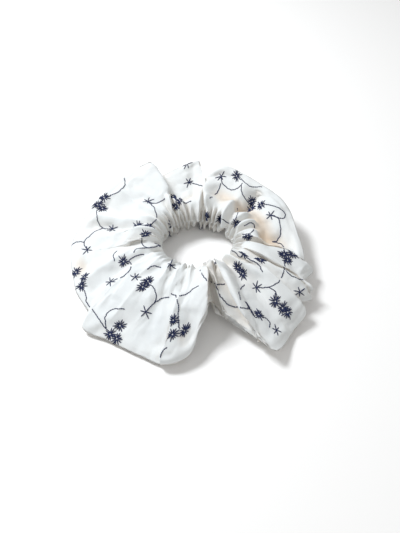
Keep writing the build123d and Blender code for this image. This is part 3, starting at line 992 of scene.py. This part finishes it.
def cotton():
    """Thin white lawn: plain weave, slubs, crumpling, and painted warm shade in its hollows,
    underneath and where it is closed in.
    """
    n = Nodes("white_cotton_lawn")
    flat = n.node("ShaderNodeUVMap", uv_map="cloth").outputs[0]
    weave = {"wave_type": "BANDS", "Scale": 550.0, "Distortion": 0.6, "Detail": 1.0}
    warp, weft = (n.texture(WAVE, flat, bands_direction=way, **weave) for way in "XY")
    threads = n.maths("MULTIPLY", warp, weft)
    slubs = []
    for stretch in ((2600.0, 160.0, 1.0), (160.0, 2600.0, 1.0)):
        drawn_out = n.node("ShaderNodeMapping", Scale=stretch)
        n.link(flat, drawn_out.inputs["Vector"])
        slubs.append(n.texture(NOISE, drawn_out.outputs[0], Scale=1.0, Detail=2.0))
    slubs = n.maths("ADD", *slubs)
    solid = n.node("ShaderNodeTexCoord").outputs["Object"]
    ridged = {"noise_type": "RIDGED_MULTIFRACTAL", "Roughness": 0.55}
    crease = n.texture(NOISE, solid, Scale=95.0, Detail=4.0, **ridged)
    patch = n.texture(NOISE, solid, Scale=26.0, Detail=3.0)
    # Painted shade: the shade attribute from the cloth tints the cotton cream in hollows,
    # underneath and in the warm patches.
    shade_attribute = n.node("ShaderNodeAttribute", attribute_name="painted_hollow_shade")
    warm_shade_share = n.rise(shade_attribute.outputs["Fac"], 0.45, 1.0, 1.0)
    # Painted shade: where ambient occlusion finds the cloth closed in, it is tinted cream.
    dark = n.node("ShaderNodeAmbientOcclusion", samples=6, Distance=0.012)
    occlusion_shade = n.maths("MULTIPLY", n.maths("SUBTRACT", 1.0, dark.outputs["AO"]), 0.45)
    base = n.mix(patch, COTTON_COOL, COTTON_PALE)
    base = n.mix(n.maths("MAXIMUM", warm_shade_share, occlusion_shade), base, COTTON_PAINTED_SHADE)
    base = n.mix(n.rise(slubs, 0.7, 1.4, 0.10), base, COTTON_THIN)
    n.link(base, n.shader.inputs["Base Color"])
    n.feel(Roughness=0.88, Specular_IOR_Level=0.25, Sheen_Weight=0.25, Sheen_Roughness=0.5)
    normal = n.bump(threads, 0.25, 0.00012)
    normal = n.bump(slubs, 0.25, 0.00015, normal)
    normal = n.bump(crease, 0.9, 0.0020, normal)
    n.link(normal, n.shader.inputs["Normal"])
    through = n.node("ShaderNodeBsdfTranslucent")
    n.link(base, through.inputs["Color"])
    n.link(normal, through.inputs["Normal"])
    both = n.node("ShaderNodeMixShader", Fac=0.22)
    n.link(n.shader.outputs[0], both.inputs[1])
    n.link(through.outputs[0], both.inputs[2])
    n.link(both.outputs[0], n.output.inputs["Surface"])
    return n.material


def twisted_thread(name, shades, sheen):
    """Twisted thread with strands, soft sheen and slight changes of shade."""
    n = Nodes(name)
    solid = n.node("ShaderNodeTexCoord").outputs["Object"]
    twist = {"wave_type": "BANDS", "bands_direction": "DIAGONAL"}
    strand = n.texture(WAVE, solid, Scale=900.0, Distortion=2.0, **twist)
    uneven = n.texture(NOISE, solid, Scale=420.0, Detail=2.0)
    n.link(n.mix(uneven, *shades), n.shader.inputs["Base Color"])
    n.feel(Roughness=0.55, Specular_IOR_Level=0.35, Sheen_Weight=sheen)
    n.link(n.bump(strand, 0.5, 0.00012), n.shader.inputs["Normal"])
    return n.material


def woven_elastic():
    """White knitted elastic with rubber cores under the yarn."""
    n = Nodes("woven_elastic")
    solid = n.node("ShaderNodeTexCoord").outputs["Object"]
    ribbed = {"wave_type": "BANDS", "bands_direction": "Z"}
    rib = n.texture(WAVE, solid, Scale=350.0, Distortion=0.5, **ribbed)
    knit = n.texture(NOISE, solid, Scale=900.0, Detail=3.0)
    n.link(n.mix(knit, *ELASTIC_SHADES), n.shader.inputs["Base Color"])
    n.feel(Roughness=0.8)
    normal = n.bump(rib, 0.5, 0.0002)
    n.link(n.bump(knit, 0.5, 0.0002, normal), n.shader.inputs["Normal"])
    return n.material


navy = twisted_thread("navy_embroidery_thread", NAVY_SHADES, 0.04)
white_thread = twisted_thread("white_sewing_thread", WHITE_SHADES, 0.1)
cover.data.materials.append(cotton())
for piece in (flower_piece, star_piece, stem_piece):
    piece.data.materials.append(navy)
for piece in (long_seam_piece, closing_seam_piece, zigzag_piece):
    piece.data.materials.append(white_thread)
elastic_piece.data.materials.append(woven_elastic())

# ------------------------------------------------------------------ pieces on the frame
PIECES = [
    (cover, ("cover_left", "cover_right"), "cover_cotton"),
    (elastic_piece, ("elastic_band",), "woven_elastic"),
    (zigzag_piece, ("elastic_join_stitching",), "sewing_thread"),
    (closing_seam_piece, ("closing_seam",), "sewing_thread"),
    (long_seam_piece, ("long_seam_left", "long_seam_right"), "sewing_thread"),
    (flower_piece, ("embroidered_flowers_left", "embroidered_flowers_right"), "embroidery_thread"),
    (star_piece, ("embroidered_stars_left", "embroidered_stars_right"), "embroidery_thread"),
    (stem_piece, ("embroidered_stems_left", "embroidered_stems_right"), "embroidery_thread"),
]
for piece, nodes, slot in PIECES:
    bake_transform(piece)
    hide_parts(*nodes)

# ------------------------------------------------------------------ floor, light and camera
floor = level_square("floor", 1.5)
paper = Nodes("pale_floor")
paper.feel(Base_Color=(0.90, 0.90, 0.90, 1), Roughness=0.9)
floor.data.materials.append(paper.material)


def area_light(name, place, power, size, colour):
    data = bpy.data.lights.new(name, "AREA")
    data.energy, data.size, data.color = power, size, colour
    light = bpy.data.objects.new(name, data)
    light.location = place
    light.rotation_euler = (AIM - Vector(place)).to_track_quat("-Z", "Y").to_euler()
    bpy.context.scene.collection.objects.link(light)


area_light(
    "key_light", place=(-0.40, 0.22, 0.60), power=5.6, size=0.20, colour=(0.96, 0.98, 1.0)
)
area_light(
    "fill_light", place=(0.35, -0.50, 0.45), power=0.5, size=0.6, colour=(1.0, 0.97, 0.93)
)
world = bpy.data.worlds.new("studio")
bpy.context.scene.world = world
world.use_nodes = True
sky = world.node_tree.nodes["Background"]
sky.inputs["Color"].default_value = (1.0, 0.99, 0.97, 1)
sky.inputs["Strength"].default_value = 0.50

SENSOR_WIDTH = 36.0
lens = bpy.data.cameras.new("camera")
lens.sensor_fit = "HORIZONTAL"
lens.sensor_width = SENSOR_WIDTH
lens.lens = SENSOR_WIDTH * CAMERA_AWAY / VIEW_WIDTH
lens.shift_x, lens.shift_y = 0.005, -0.054
camera = bpy.data.objects.new("camera", lens)
camera.location = camera_at
camera.rotation_euler = (math.pi / 2 - CAMERA_LIFT, 0, 0)
bpy.context.scene.collection.objects.link(camera)
bpy.context.scene.camera = camera
bpy.context.scene.view_settings.view_transform = "Standard"
